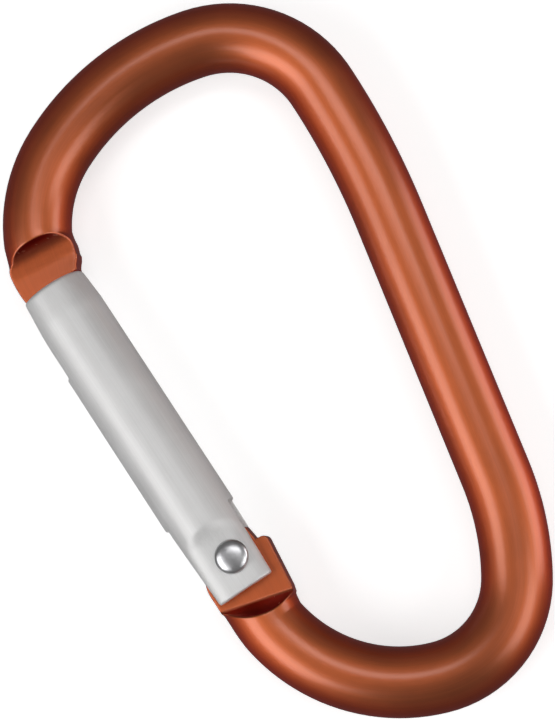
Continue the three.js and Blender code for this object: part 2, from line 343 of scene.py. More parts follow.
def round_over(piece: bpy.types.Object, grain: float, passes: int) -> None:
    """Rounds every edge of a piece, as tumbling in a barrel does.

    Args:
        piece: the object, in millimetres.
        grain: side of the cells that the skin is rebuilt from.
        passes: how many times the new skin is evened out.
    """
    remesh = piece.modifiers.new("skin", "REMESH")
    remesh.mode = "VOXEL"
    remesh.voxel_size = grain
    remesh.use_smooth_shade = True
    even = piece.modifiers.new("even", "SMOOTH")
    even.factor = 0.5
    even.iterations = passes
    settle(piece)


# ------------------------------------------------------------------------------ shader groups


class Tree:
    """A node tree in the making."""

    def __init__(self, tree: bpy.types.NodeTree) -> None:
        """Takes an empty node tree."""
        self.tree = tree

    def add(self, kind: str, **settings: Any) -> bpy.types.Node:
        """Adds a node.

        Args:
            kind: the node's type, without its "ShaderNode" prefix.
            **settings: properties of the node.

        Returns:
            The node.
        """
        node = self.tree.nodes.new("ShaderNode" + kind)
        for name, value in settings.items():
            setattr(node, name, value)
        return node

    def feed(self, socket: bpy.types.NodeSocket, value: Any) -> None:
        """Links an output to a socket, or sets the socket's own value.

        Args:
            socket: the input to feed.
            value: an output, a number, a colour or a vector.
        """
        if isinstance(value, bpy.types.NodeSocket):
            self.tree.links.new(value, socket)
        else:
            socket.default_value = value

    def math(self, operation: str, *values: Any, clamp: bool = False) -> bpy.types.NodeSocket:
        """A calculation with one, two or three values.

        Args:
            operation: which one.
            *values: outputs or numbers.
            clamp: hold the result between 0 and 1.

        Returns:
            The result's output.
        """
        node = self.add("Math", operation=operation, use_clamp=clamp)
        for socket, value in zip(node.inputs, values):
            self.feed(socket, value)
        return node.outputs[0]

    def blend(self, share: Any, low: Any, high: Any) -> bpy.types.NodeSocket:
        """A colour between two others.

        Args:
            share: how much of the second.
            low: the first colour.
            high: the second colour.

        Returns:
            The mixed colour's output.
        """
        node = self.add("Mix", data_type="RGBA", blend_type="MIX")
        self.feed(node.inputs["Factor"], share)
        self.feed(node.inputs[6], low)
        self.feed(node.inputs[7], high)
        return node.outputs[2]

    def spread(self, value: Any, low: float, high: float, to_low: float, to_high: float) -> Any:
        """A value moved evenly from one range to another, and held within it.

        Args:
            value: the output to move.
            low: start of its range.
            high: end of its range.
            to_low: start of the new range.
            to_high: end of the new range.

        Returns:
            The moved value's output.
        """
        node = self.add("MapRange", clamp=True)
        for socket, given in zip(node.inputs, (value, low, high, to_low, to_high)):
            self.feed(socket, given)
        return node.outputs[0]

    def sway(self, value: Any, middle: float, amount: float, base: Any) -> Any:
        """A base value that another value sways to either side.

        Args:
            value: what sways it.
            middle: where the value leaves the base as it is.
            amount: how far one unit of the value sways it.
            base: an output or a number.

        Returns:
            The swayed value's output.
        """
        return self.math("MULTIPLY_ADD", self.math("SUBTRACT", value, middle), amount, base)

    def noise(self, vector: Any, scale: Any, detail: float, rough: float = 0.5) -> Any:
        """Cloudy noise of about 0 to 1.

        Args:
            vector: where it is looked up.
            scale: its clouds per unit of the vector.
            detail: how many finer layers it has.
            rough: how strong each finer layer is.

        Returns:
            The noise's output.
        """
        node = self.add("TexNoise")
        self.feed(node.inputs["Vector"], vector)
        self.feed(node.inputs["Scale"], scale)
        node.inputs["Detail"].default_value = detail
        node.inputs["Roughness"].default_value = rough
        return node.outputs[0]


@dataclass(frozen=True)
class Socket:
    """A named input or output of a shader group."""

    name: str
    kind: str = "NodeSocketFloat"
    value: float | None = None


class ShaderLibrary:
    """The shared shader groups, each built once.

    Noise scales are clouds per millimetre.
    """

    FINE_LINES = 1.0
    BROAD_LINES = 0.23
    FINE_SHARE = 0.65
    BREAK_SCALE = 1.4
    LEAST_WEAR = 0.35
    MARK_SCALE = 0.16
    SPECK_SCALE = 7.0

    def __init__(self) -> None:
        """Builds all groups."""
        self.groups = {
            GroupName.GRAIN: self.make_grain(),
            GroupName.EDGES: self.make_edges(),
            GroupName.CLOUDS: self.make_clouds(),
            GroupName.HOLLOW_SHADE: self.make_hollow_shade(),
        }

    @staticmethod
    def start(name: GroupName, inputs: list[Socket], outputs: list[Socket]) -> tuple[Tree, Any, Any]:
        """Starts a group.

        Args:
            name: what it is called.
            inputs: its inputs.
            outputs: its outputs.

        Returns:
            Its tree, its input node and its output node.
        """
        group = bpy.data.node_groups.new(name.value, "ShaderNodeTree")
        for way, sockets in (("INPUT", inputs), ("OUTPUT", outputs)):
            for given in sockets:
                made = group.interface.new_socket(given.name, in_out=way, socket_type=given.kind)
                if given.value is not None:
                    made.default_value = given.value
        entry = group.nodes.new("NodeGroupInput")
        leave = group.nodes.new("NodeGroupOutput")
        return Tree(group), entry, leave

    def make_grain(self) -> bpy.types.NodeTree:
        """Fine lines that a die or a sanding belt leaves along the metal.

        Returns:
            The group: a vector in millimetres with its first axis along the lines, the lines'
            fineness and length; out come the lines as a height and as a mask.
        """
        tree, entry, leave = self.start(
            GroupName.GRAIN,
            [
                Socket("Place", "NodeSocketVector"),
                Socket("Fineness", value=9.0),
                Socket("Length", value=0.12),
            ],
            [Socket("Height"), Socket("Mask")],
        )
        parts = tree.add("SeparateXYZ")
        tree.feed(parts.inputs[0], entry.outputs["Place"])
        vector = tree.add("CombineXYZ")
        tree.feed(vector.inputs[0], tree.math("MULTIPLY", parts.outputs[0], entry.outputs["Length"]))
        for k in (1, 2):
            tree.feed(
                vector.inputs[k], tree.math("MULTIPLY", parts.outputs[k], entry.outputs["Fineness"])
            )
        fine = tree.noise(vector.outputs[0], self.FINE_LINES, 3.0, 0.6)
        broad = tree.noise(vector.outputs[0], self.BROAD_LINES, 2.0)
        rest = tree.math("MULTIPLY", broad, 1 - self.FINE_SHARE)
        height = tree.math("MULTIPLY_ADD", fine, self.FINE_SHARE, rest)
        tree.feed(leave.inputs["Height"], height)
        tree.feed(leave.inputs["Mask"], tree.spread(height, 0.38, 0.62, 0.0, 1.0))
        return tree.tree

    def make_edges(self) -> bpy.types.NodeTree:
        """Edges that rubbing has thinned and brightened, with uneven breaks.

        Returns:
            The group: a vector in millimetres and how sharp an edge has to be; out comes a mask.
        """
        tree, entry, leave = self.start(
            GroupName.EDGES,
            [
                Socket("Place", "NodeSocketVector"),
                Socket("Start", value=0.53),
                Socket("End", value=0.6),
            ],
            [Socket("Mask")],
        )
        shape = tree.add("NewGeometry")
        node = tree.add("MapRange", clamp=True)
        tree.feed(node.inputs[0], shape.outputs["Pointiness"])
        tree.feed(node.inputs[1], entry.outputs["Start"])
        tree.feed(node.inputs[2], entry.outputs["End"])
        uneven = tree.noise(entry.outputs["Place"], self.BREAK_SCALE, 4.0)
        breaks = tree.spread(uneven, 0.3, 0.6, self.LEAST_WEAR, 1.0)
        tree.feed(leave.inputs["Mask"], tree.math("MULTIPLY", node.outputs[0], breaks))
        return tree.tree

    def make_clouds(self) -> bpy.types.NodeTree:
        """Broad, faint marks of handling, and fine specks in the surface.

        Returns:
            The group: a vector in millimetres; out come the broad marks and the specks.
        """
        tree, entry, leave = self.start(
            GroupName.CLOUDS,
            [Socket("Place", "NodeSocketVector")],
            [Socket("Marks"), Socket("Specks")],
        )
        broad = tree.noise(entry.outputs["Place"], self.MARK_SCALE, 3.0, 0.55)
        tree.feed(leave.inputs["Marks"], tree.spread(broad, 0.32, 0.68, 0.0, 1.0))
        fine = tree.noise(entry.outputs["Place"], self.SPECK_SCALE, 2.0, 0.6)
        tree.feed(leave.inputs["Specks"], tree.spread(fine, 0.3, 0.7, 0.0, 1.0))
        return tree.tree

    def make_hollow_shade(self) -> bpy.types.NodeTree:
        """Painted shade on the walls of the scoops, where a darker colour stands in for shade.

        Returns:
            The group: how strong the effect is; out comes a mask, held between 0 and 1.
        """
        tree, entry, leave = self.start(
            GroupName.HOLLOW_SHADE, [Socket("Strength", value=1.0)], [Socket("Mask")]
        )
        depth = tree.add("Attribute", attribute_name=SHADE_LAYER)
        tree.feed(
            leave.inputs["Mask"],
            tree.math("MULTIPLY", depth.outputs["Fac"], entry.outputs["Strength"], clamp=True),
        )
        return tree.tree

    def use(self, tree: Tree, name: GroupName, **inputs: Any) -> bpy.types.Node:
        """Places a group in a material.

        Args:
            tree: the material's tree.
            name: which group.
            **inputs: values or outputs for its inputs.

        Returns:
            The group's node.
        """
        node = tree.add("Group", node_tree=self.groups[name])
        for socket, value in inputs.items():
            tree.feed(node.inputs[socket], value)
        return node


# ------------------------------------------------------------------------------ finishes


@dataclass(frozen=True)
class MetalFinish:
    """A metal surface: its colours, with painted shade at grazing edges and on the scoops' walls, its
    gloss and the detail that breaks them up.
    """

    name: str
    face: Colour
    # Colour at grazing views: painted shade that darkens the edges; where it is lighter than the face,
    # a faint painted sheen.
    painted_rim: Colour
    worn: Colour
    roughness: float
    roughness_spread: float = 0.06
    metallic: float = 1.0
    coat: float = 0.0
    coat_roughness: float = 0.2
    coat_ior: float = 1.6
    # How far the surface turns from the view where the painted edge colour begins and where it is
    # full.
    painted_rim_start: float = 0.12
    painted_rim_end: float = 0.75
    tone_spread: float = 0.1
    fineness: float = 9.0
    length: float = 0.12
    bump: float = 0.05
    speck_bump: float = 0.04
    wear: float = 0.5
    wear_start: float = 0.53
    wear_end: float = 0.6
    bump_depth: float = 0.1  # in millimetres
    hollow_shade: float = 0.0  # how much painted shade darkens the scoops' walls
    cut_edge: float = 8.0  # how soon wear sets in where a scoop's wall begins, read from the painted shade's layer
    # the colour of the painted shade on the scoops' walls
    hollow_shade_colour: Colour = (0.12, 0.12, 0.12, 1.0)
    stretch: float = 0.0  # how much the grain spreads the gloss across itself
    by_surface: bool = False  # place the detail by the surface's own coordinates, not in space

    def place(self, tree: Tree) -> tuple[Any, Any]:
        """Vectors in millimetres for the detail.

        Args:
            tree: the material's tree.

        Returns:
            One with its first axis along the grain, and one in space.
        """
        coordinates = tree.add("TexCoord")
        space = tree.add("VectorMath", operation="SCALE")
        tree.feed(space.inputs[0], coordinates.outputs["Object"])
        space.inputs["Scale"].default_value = 1 / MM
        if self.by_surface:
            return coordinates.outputs["UV"], space.outputs[0]
        parts = tree.add("SeparateXYZ")
        tree.feed(parts.inputs[0], space.outputs[0])
        turned = tree.add("CombineXYZ")
        for k, source in enumerate((1, 0, 2)):
            tree.feed(turned.inputs[k], parts.outputs[source])
        return turned.outputs[0], space.outputs[0]

    def colour(
        self, tree: Tree, library: ShaderLibrary, space: Any, tone: Any, painted_shade: Any
    ) -> Any:
        """The colour, with painted shade at the rim and on the scoops' walls, and with the wear.

        Args:
            tree: the material's tree.
            library: the shared shader groups.
            space: a vector in millimetres.
            tone: how light the metal is.
            painted_shade: how much painted shade lies on each point.

        Returns:
            The colour's output.
        """
        edges = library.use(
            tree, GroupName.EDGES, Place=space, Start=self.wear_start, End=self.wear_end
        )
        # Painted shade at grazing views: the edge colour takes over as the surface turns away.
        facing = tree.add("LayerWeight")
        facing.inputs["Blend"].default_value = 0.5
        turn = tree.spread(facing.outputs["Facing"], self.painted_rim_start, self.painted_rim_end, 0.0, 1.0)
        toned = tree.add("VectorMath", operation="SCALE")
        tree.feed(toned.inputs[0], tree.blend(turn, self.face, self.painted_rim))
        tree.feed(toned.inputs["Scale"], tone)
        # Painted shade on the scoops' walls.
        shaded = tree.blend(painted_shade, toned.outputs[0], self.hollow_shade_colour)
        rubbed = tree.math("MULTIPLY", edges.outputs["Mask"], self.wear)
        # Wear shows only where the painted shade's layer marks a scoop.
        if self.hollow_shade > 0:
            cut_edge = library.use(tree, GroupName.HOLLOW_SHADE, Strength=self.cut_edge)
            rubbed = tree.math("MULTIPLY", rubbed, cut_edge.outputs["Mask"])
        return tree.blend(rubbed, shaded, self.worn)

    def relief(self, tree: Tree, lines: Any, specks: Any) -> Any:
        """The fine relief of the surface.

        Args:
            tree: the material's tree.
            lines: the grain's height.
            specks: the specks.

        Returns:
            The normal's output.
        """
        fine = tree.math("MULTIPLY", specks, self.speck_bump)
        bump = tree.add("Bump")
        bump.inputs["Strength"].default_value = 1.0
        bump.inputs["Distance"].default_value = self.bump_depth * MM
        tree.feed(bump.inputs["Height"], tree.math("MULTIPLY_ADD", lines, self.bump, fine))
        return bump.outputs[0]

    def spread_gloss(self, tree: Tree, shader: bpy.types.Node) -> None:
        """Stretches the gloss across the grain.

        Args:
            tree: the material's tree.
            shader: its main shader.
        """
        tangent = tree.add("Tangent", direction_type="UV_MAP" if self.by_surface else "RADIAL")
        tangent.axis = "Y"
        tree.feed(shader.inputs["Tangent"], tangent.outputs[0])
        shader.inputs["Anisotropic"].default_value = self.stretch
        shader.inputs["Anisotropic Rotation"].default_value = 0.25 if self.by_surface else 0.0

    def make(self, library: ShaderLibrary) -> bpy.types.Material:
        """Builds the material.

        Args:
            library: the shared shader groups.

        Returns:
            The material.
        """
        material = bpy.data.materials.new(self.name)
        material.use_nodes = True
        material.diffuse_color = self.face
        tree = Tree(material.node_tree)
        material.node_tree.nodes.clear()
        out = tree.add("OutputMaterial")
        shader = tree.add("BsdfPrincipled")
        tree.feed(out.inputs["Surface"], shader.outputs[0])

        lines, space = self.place(tree)
        grain = library.use(
            tree, GroupName.GRAIN, Place=lines, Fineness=self.fineness, Length=self.length
        )
        clouds = library.use(tree, GroupName.CLOUDS, Place=space)
        # How much painted shade lies on each point.
        painted_shade = library.use(tree, GroupName.HOLLOW_SHADE, Strength=self.hollow_shade).outputs["Mask"]
        mask, marks = grain.outputs["Mask"], clouds.outputs["Marks"]

        handled = tree.sway(marks, 0.5, self.tone_spread, 1.0)
        tone = tree.sway(mask, 0.5, self.tone_spread, handled)
        colour = self.colour(tree, library, space, tone, painted_shade)
        tree.feed(shader.inputs["Base Color"], colour)
        rough = tree.sway(tree.math("ADD", marks, mask), 1.0, self.roughness_spread, self.roughness)
        tree.feed(shader.inputs["Roughness"], rough)
        normal = self.relief(tree, grain.outputs["Height"], clouds.outputs["Specks"])
        tree.feed(shader.inputs["Normal"], normal)
        if self.stretch:
            self.spread_gloss(tree, shader)
        shader.inputs["Metallic"].default_value = self.metallic
        if self.coat:
            # The coat thins where the painted shade lies.
            clear = tree.math("SUBTRACT", 1.0, painted_shade, clamp=True)
            tree.feed(shader.inputs["Coat Weight"], tree.math("MULTIPLY", clear, self.coat))
        shader.inputs["Coat Roughness"].default_value = self.coat_roughness
        shader.inputs["Coat IOR"].default_value = self.coat_ior
        return material


# In each finish the rim colour is painted shade that darkens the edges at grazing views (on the satin
# gate a faint painted sheen), and the hollow colour is painted shade on the scoops' walls.
ANODISED = MetalFinish(
    name="anodised_orange",
    face=(0.70, 0.158, 0.046, 1.0),
    painted_rim=(0.66, 0.028, 0.005, 1.0),
    hollow_shade=1.0,
    hollow_shade_colour=(0.26, 0.012, 0.008, 1.0),
    worn=(0.95, 0.5, 0.3, 1.0),
    roughness=0.45,
    roughness_spread=0.04,
    coat=1.0,
    coat_roughness=0.25,
    stretch=0.6,
    tone_spread=0.09,
    fineness=7.0,
    length=0.05,
    bump=0.05,
    speck_bump=0.03,
    wear=0.5,
    wear_start=0.6,
    wear_end=0.68,
    by_surface=True,
)
SATIN = MetalFinish(
    name="satin_aluminium",
    face=(0.95, 0.945, 0.94, 1.0),
    painted_rim=(1.0, 1.0, 1.0, 1.0),
    metallic=0.5,
    worn=(0.95, 0.95, 0.95, 1.0),
    roughness=0.52,
    roughness_spread=0.05,
    stretch=0.3,
    tone_spread=0.07,
    fineness=8.0,
    length=0.1,
    bump=0.06,
    speck_bump=0.03,
    wear=0.6,
)
POLISHED = MetalFinish(
    name="polished_rivet_steel",
    face=(0.8, 0.8, 0.82, 1.0),
    painted_rim=(0.5, 0.5, 0.5, 1.0),
    worn=(0.9, 0.9, 0.9, 1.0),
    roughness=0.31,
    roughness_spread=0.04,
    tone_spread=0.06,
    fineness=5.0,
    length=5.0,
    bump=0.01,
    speck_bump=0.01,
)
TURNED = MetalFinish(
    name="turned_plunger_steel",
    face=(0.52, 0.52, 0.53, 1.0),
    painted_rim=(0.4, 0.4, 0.41, 1.0),
    worn=(0.8, 0.8, 0.8, 1.0),
    roughness=0.32,
    fineness=0.5,
    length=9.0,
)
WIRE = MetalFinish(
    name="spring_wire",
    face=(0.58, 0.58, 0.6, 1.0),
    painted_rim=(0.4, 0.4, 0.42, 1.0),
    worn=(0.8, 0.8, 0.8, 1.0),
    roughness=0.25,
    fineness=4.0,
    length=4.0,
)


# ------------------------------------------------------------------------------ the object's parts


@dataclass
class Maker:
    """What every sub-assembly needs: the design frame and the shader groups."""

    design: DesignFrame
    library: ShaderLibrary

    def hand_over(
        self,
        piece: bpy.types.Object,
        name: str,
        finish: MetalFinish,
        body: BodyName,
        slot: SlotName,
    ) -> bpy.types.Object:
        """Moves a finished piece to the row frame, dresses it and hands it to its body.

        Args:
            piece: the object, in design millimetres.
            name: the CAD node that it stands for; the piece is called the same with "_fine".
            finish: its surface.
            body: the body it rides on.
            slot: the record's material slot; not used.

        Returns:
            The piece.
        """
        piece.name = name + "_fine"
        piece.data.name = piece.name
        piece.data.transform(self.design.matrix())
        piece.data.materials.clear()
        piece.data.materials.append(finish.make(self.library))
        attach(piece, body.value)
        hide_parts(name)
        log.info("%s: %d faces, on %s", piece.name, len(piece.data.polygons), body.value)
        return piece


@dataclass(frozen=True)
class Circle:
    """A circle that a bend runs round, from one angle down to another, in radians."""

    LEAST: ClassVar[int] = 8  # points of the shortest bend
    centre: Points
    radius: float
    start: float
    end: float

    def points(self, step: float) -> Points:
        """Points of the bend, clockwise.

        Args:
            step: about how far apart, in millimetres.

        Returns:
            The points in order.
        """
        count = max(self.LEAST, int(self.radius * (self.start - self.end) / step))
        angles = np.linspace(self.start, self.end, count)
        return self.centre + self.radius * np.stack([np.cos(angles), np.sin(angles)], 1)


@dataclass(frozen=True)
class Scoop:
    """A concave cut from the round rod down to a flat tongue, the same above and below."""

    foot: tuple[float, float]
    heading: float  # degrees of the direction from the wall towards the tongue
    radius: float  # of the concave foot of the wall
    lean: float  # degrees that the wall climbs at above its foot
    height: float = 1.5

    def ceiling(self, x: Points, y: Points) -> Points:
        """Half the thickness that the cut leaves at each point of the plane.

        Args:
            x: places across.
            y: places along the gate's axis.

        Returns:
            Heights; far above the rod where nothing is cut.
        """
        angle = math.radians(self.heading)
        behind = -(x - self.foot[0]) * math.cos(angle) - (y - self.foot[1]) * math.sin(angle)
        lean = math.radians(self.lean)
        inside = np.clip(behind, 0.0, self.radius * math.sin(lean))
        rise = self.radius - np.sqrt(self.radius**2 - inside**2)
        return self.height + rise + np.maximum(behind - inside, 0.0) * math.tan(lean)


@dataclass
class RodBody(Maker):
    """The bent rod with a flat tongue at each end."""

    radius: float = 3.7
    nose_tip: float = 27.3
    nose_bend_start: float = 33.4
    nose_root_turn: float = 26.0
    nose_root_run: float = 3.4
    nose_blend: float = 1.8
    nose_bends: tuple[tuple[float, float], ...] = ((15, 66), (26.5, 40.5), (12.1, 74.5), (85, 0))
    hinge_bend_start: float = -5.6
    hinge_bends: tuple[tuple[float, float], ...] = ((17.5, 71.5), (10.5, 75.5), (29.5, 0))
    hinge_top: float = 2.5
    hinge_offset: float = 0.8
    cam_rate: float = 1.1
    cam_turn: float = 35.0
    hole_radius: float = 1.26
    lobe_edge: float = 4.85
    edge_blend: float = 0.34
    soft_edge: float = 0.7
    # Painted shade on the scoops: how high up a wall it takes to reach its full depth, and its faint
    # share on the flat tongue.
    shade_rise: float = 2.0
    shade_floor: float = 0.14
    cap_round: float = 0.22
    sides: int = 200
    nose_scoop: Scoop = Scoop(foot=(0.0, 36.85), heading=-96.0, radius=3.1, lean=85.0)
    hinge_scoop: Scoop = Scoop(foot=(0.0, -4.85), heading=75.0, radius=0.5, lean=57.0)
    scoop_reach: float = 24.0
    line_step: float = 0.05
    least_step: float = 1e-4
    corner_steps: int = 60
    ruler_steps: int = 8000
    # How close the sections lie: distances from each end of the centreline, and the spacing there.
    nose_spacing: tuple[tuple[float, float], ...] = (
        (0.0, 0.05), (0.3, 0.2), (7.3, 0.16), (7.45, 0.03), (7.65, 0.03), (8.0, 0.1), (9.0, 0.08),
        (15.0, 0.08), (17.0, 0.85),
    )
    hinge_spacing: tuple[tuple[float, float], ...] = (
        (15.5, 0.85), (13.5, 0.085), (6.3, 0.085), (5.2, 0.2), (3.2, 0.1), (0.3, 0.08), (0.0, 0.04),
    )
    hinge_zone: float = 12.0  # how far from the hinge tongue's end its outline sets the widths
    square_zone: tuple[float, float] = (1.55, 2.5)  # cut heights over which a side turns square
    corner_blend: float = 0.03
    soft_zone: tuple[float, ...] = (4.6, 6.2, 10.0, 13.0)  # where the inner edge is softer
    soft_side: tuple[float, float] = (0.2, 0.7)
    # Where the painted shade fades out at a scoop's rim, by how far the cut lies inside the round rod.
    shade_edge: tuple[float, float] = (-0.1, 0.05)
    # Distances from the nose tongue's tip, with the width outside and inside of the centreline.
    nose_outer: tuple[tuple[float, float], ...] = (
        (0, 2.05), (1, 3.05), (7.5, 3.05), (10.7, 3.45), (12.6, 3.7),
    )
    nose_inner: tuple[tuple[float, float], ...] = (
        (0, 1.46), (1, 2.46), (7.52, 2.46), (7.56, 3.55), (9.2, 4.1), (10.3, 4.24), (11.6, 4.06),
        (13.8, 3.7),
    )
    # The hinge tongue's outline, as x and y pairs with falling y.
    round_end: float = 150.0  # degrees at which the tip's arc ends
    outer_shoulder: tuple[float, float] = (-3.6, -2.1)
    outer_root: tuple[tuple[float, float], ...] = ((-3.6, -5.8), (-3.7, -8.0))
    lobe_neck: tuple[float, float] = (3.74, 0.3)
    lobe_foot: float = -0.3
    lobe_round: float = 0.55
    inner_root: tuple[tuple[float, float], ...] = ((4.25, -5.8), (3.95, -7.0), (3.7, -8.2))
    outline_steps: int = 12
    lobe_steps: int = 8

    @staticmethod
    def chain(start_y: float, bends: tuple[tuple[float, float], ...], way: int) -> list[Circle]:
        """The circles of a chain of bends.

        Args:
            start_y: where the chain leaves the gate's axis.
            bends: radius and turn in degrees of each bend.
            way: 1 for a chain walked forwards, -1 for one walked back from its end.

        Returns:
            One circle for each bend.
        """
        heading = math.pi / 2
        point = np.array([0.0, start_y])
        circles = []
        for radius, turn in bends:
            side = heading - math.pi / 2
            centre = point + radius * np.array([math.cos(side), math.sin(side)])
            start = heading + math.pi / 2
            heading -= way * math.radians(turn)
            end = heading + math.pi / 2
            point = centre + radius * np.array([math.cos(end), math.sin(end)])
            circles.append(Circle(centre, radius, max(start, end), min(start, end)))
        return circles

    def centreline(self) -> Points:
        """The rod's whole centreline, from the nose tongue's tip to the hinge tongue's top.

        Returns:
            Closely spaced points of the plane.
        """
        step = self.line_step
        down = self.chain(self.nose_bend_start, self.nose_bends, 1)
        back = self.chain(self.hinge_bend_start, self.hinge_bends, -1)
        upper, lower = down[-1], back[-1]
        gap = lower.centre - upper.centre
        heading = math.atan2(gap[1], gap[0])
        heading += math.asin((lower.radius - upper.radius) / float(np.linalg.norm(gap)))
        spine = heading + math.pi / 2
        down[-1] = Circle(upper.centre, upper.radius, upper.start, spine)
        back[-1] = Circle(lower.centre, lower.radius, spine + 2 * math.pi, lower.end)

        first = down[0]
        root_angle = first.start - math.radians(self.nose_root_turn)
        down[0] = Circle(first.centre, first.radius, root_angle, first.end)
        root = down[0].points(step)[0]
        way = np.array([math.sin(root_angle), -math.cos(root_angle)])
        crossing = root - way * root[0] / way[0]
        axis = np.array([0.0, 1.0])
        t = np.linspace(0, 1, self.corner_steps)[:, None]
        corner = (
            (1 - t) ** 2 * (crossing - self.nose_blend * axis)
            + 2 * t * (1 - t) * crossing
            + t**2 * (crossing + self.nose_blend * way)
        )
        straight = np.arange(self.nose_tip, corner[0, 1], step)
        top = np.arange(self.hinge_bend_start, self.hinge_top, step)[1:]
        runs = [np.stack([0 * straight, straight], 1), corner]
        runs += [circle.points(step) for circle in down]
        runs += [circle.points(step) for circle in reversed(back)]
        runs += [np.stack([0 * top, top], 1), np.array([[0.0, self.hinge_top]])]
        line = np.concatenate(runs)
        apart = np.linalg.norm(np.diff(line, axis=0), axis=1) > self.least_step
        return line[np.concatenate([[True], apart])]

    def stations(self, length: float) -> Points:
        """Places of the sections, close together where the shape changes.

        Args:
            length: the whole centreline's length.

        Returns:
            Distances from the nose tongue's tip.
        """
        zones = [*self.nose_spacing, *((length - back, gap) for back, gap in self.hinge_spacing)]
        fine = np.linspace(0, length, self.ruler_steps)
        spacing = np.interp(fine, [z[0] for z in zones], [z[1] for z in zones])
        count = np.concatenate([[0], np.cumsum((fine[1] - fine[0]) / spacing[1:])])
        return np.interp(np.linspace(0, count[-1], int(count[-1]) + 1), count, fine)

    def hinge_edges(self) -> tuple[Points, Points]:
        """The hinge tongue's outline, as the edges outside and inside of the gate's axis.

        Returns:
            Two lists of y and x pairs with falling y.
        """
        pivot, reach = (self.hinge_offset, 0.0), self.hinge_top
        outer = arc_points(pivot, reach, 90, self.round_end, self.outline_steps)
        (x0, y0), (x1, y1) = outer[-1], self.outer_shoulder
        for t in np.linspace(0, 1, self.outline_steps)[1:]:
            left = (1 - t) ** 2
            outer.append((left * x0 + (1 - left) * x1, left * y0 + t**2 * y1))
        outer += self.outer_root
        inner = []
        for angle in np.radians(np.linspace(0, self.cam_turn, self.outline_steps)):
            arm = reach + self.cam_rate * angle
            inner.append(
                (
                    self.hinge_offset + arm * math.sin(angle) + self.cam_rate * math.cos(angle),
                    arm * math.cos(angle) - self.cam_rate * math.sin(angle),
                )
            )
        inner.append(self.lobe_neck)
        lobe_centre = (self.lobe_edge - self.lobe_round, self.lobe_foot)
        inner += arc_points(lobe_centre, self.lobe_round, 90, 0, self.lobe_steps)
        inner += self.inner_root
        return np.array(outer)[:, ::-1], np.array(inner)[:, ::-1]

    def widths(self, place: Points, length: float) -> tuple[Points, Points, Points]:
        """How wide each section is.

        Args:
            place: the sections' places.
            length: the whole centreline's length.

        Returns:
            The widths outside and inside of the centreline, and how far each end is rounded in.
        """
        outer = np.interp(place, *np.array(self.nose_outer).T)
        inner = np.interp(place, *np.array(self.nose_inner).T)
        edge_out, edge_in = self.hinge_edges()
        y = self.hinge_top - (length - place)
        at_hinge = length - place < self.hinge_zone
        outer = np.where(at_hinge, -np.interp(y, edge_out[::-1, 0], edge_out[::-1, 1]), outer)
        inner = np.where(at_hinge, np.interp(y, edge_in[::-1, 0], edge_in[::-1, 1]), inner)
        end = np.clip(self.cap_round - np.minimum(place, length - place), 0, self.cap_round)
        inset = self.cap_round - np.sqrt(self.cap_round**2 - end**2)
        return outer - inset, inner - inset, inset

    def sections(self) -> tuple[Points, Points, Points]:
        """All sections of the skin.

        Returns:
            The rings, each one's place along the centreline, and how much painted shade lies at each
            point.
        """
        line = self.centreline()
        run = np.concatenate([[0], np.cumsum(np.linalg.norm(np.diff(line, axis=0), axis=1))])
        length = run[-1]
        way = np.gradient(line, run, axis=0)
        way /= np.linalg.norm(way, axis=1)[:, None]
        place = self.stations(length)
        centre = np.stack([np.interp(place, run, line[:, k]) for k in (0, 1)], 1)
        heading = np.stack([np.interp(place, run, way[:, k]) for k in (0, 1)], 1)
        heading /= np.linalg.norm(heading, axis=1)[:, None]
        across = np.stack([heading[:, 1], -heading[:, 0]], 1)

        outer, inner, inset = self.widths(place, length)
        angle = (np.arange(self.sides) + 0.5) * 2 * math.pi / self.sides
        right = np.cos(angle) > 0
        lift = np.abs(np.sin(angle))[None, :]
        spread = np.abs(np.cos(angle))[None, :]
        half = (outer + inner)[:, None] / 2
        middle = (inner - outer)[:, None] / 2

        def ceiling(offset: Points) -> Points:
            """What the scoops leave of each section.

            Args:
                offset: distances inward from the centreline.

            Returns:
                Half the thickness there.
            """
            x = centre[:, :1] + across[:, :1] * offset
            y_at = centre[:, 1:] + across[:, 1:] * offset
            head = place[:, None] < self.scoop_reach
            nose = np.where(head, self.nose_scoop.ceiling(x, y_at), UNCUT)
            tail = place[:, None] > length - self.scoop_reach
            hinge = np.where(tail, self.hinge_scoop.ceiling(x, y_at), UNCUT)
            return np.minimum(nose, hinge)

        side = np.where(right[None, :], middle + half, middle - half)
        edge_height = ceiling(side)
        square = 1 - smooth_step(edge_height, *self.square_zone)
        turn = np.sqrt(1 - np.clip(edge_height / self.radius, 0, 1) ** 2)
        wide = -soft_min(-spread, -turn + 0 * spread, self.corner_blend)
        reach = spread / wide**square
        offset = middle + half * reach * np.where(right, 1.0, -1.0)[None, :]
        roof = ceiling(offset) - inset[:, None]
        soft = smooth_step(place, *self.soft_zone[:2]) * (1 - smooth_step(place, *self.soft_zone[2:]))
        soft = soft[:, None] * smooth_step(np.cos(angle), *self.soft_side)
        blend = self.edge_blend + (self.soft_edge - self.edge_blend) * soft
        height = soft_min(self.radius * lift, roof, blend)
        z = height * np.sign(np.sin(angle))[None, :]
        rings = np.stack(
            [
                centre[:, :1] + across[:, :1] * offset,
                centre[:, 1:] + across[:, 1:] * offset,
                z,
            ],
            axis=2,
        )
        # Painted shade: it deepens up each scoop's wall from a faint share on the flat tongue, and
        # fades out at the rim.
        wall = smooth_step(roof - self.nose_scoop.height, 0.0, self.shade_rise)
        wall = self.shade_floor + (1 - self.shade_floor) * wall
        wall *= smooth_step(self.radius * lift - roof, *self.shade_edge)
        return rings[:, ::-1, :], place, wall[:, ::-1]

